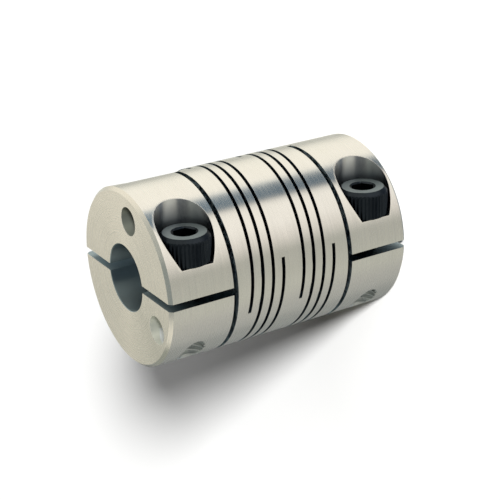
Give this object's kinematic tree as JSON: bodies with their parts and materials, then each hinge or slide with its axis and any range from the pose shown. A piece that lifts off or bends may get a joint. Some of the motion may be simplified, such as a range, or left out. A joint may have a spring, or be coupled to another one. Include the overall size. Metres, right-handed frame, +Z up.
{
  "type": "beam coupling",
  "caption": "Cylindrical flexible shaft coupling with helical beam cuts through its wall and a slit clamp hub with a cap screw at each end.",
  "frame": {"origin": "centre of the lower hub's end face, on the bore axis: the coupling stands on that face", "axes": "+Z up along the bore axis, out of the upper hub's bore; +X the side the screw heads face, square to the clamp slit; -Y the side where the screws draw the slit shut"},
  "size_m": [0.0254, 0.0254, 0.0381],
  "materials": {
    "turned_aluminium": "fine turned, bare",
    "black_oxide_steel": "black oxide, oiled"
  },
  "bodies": {
    "root": {"coupling_body": "turned_aluminium", "lower_clamp_screw": "black_oxide_steel", "upper_clamp_screw": "black_oxide_steel"}
  },
  "joints": []
}
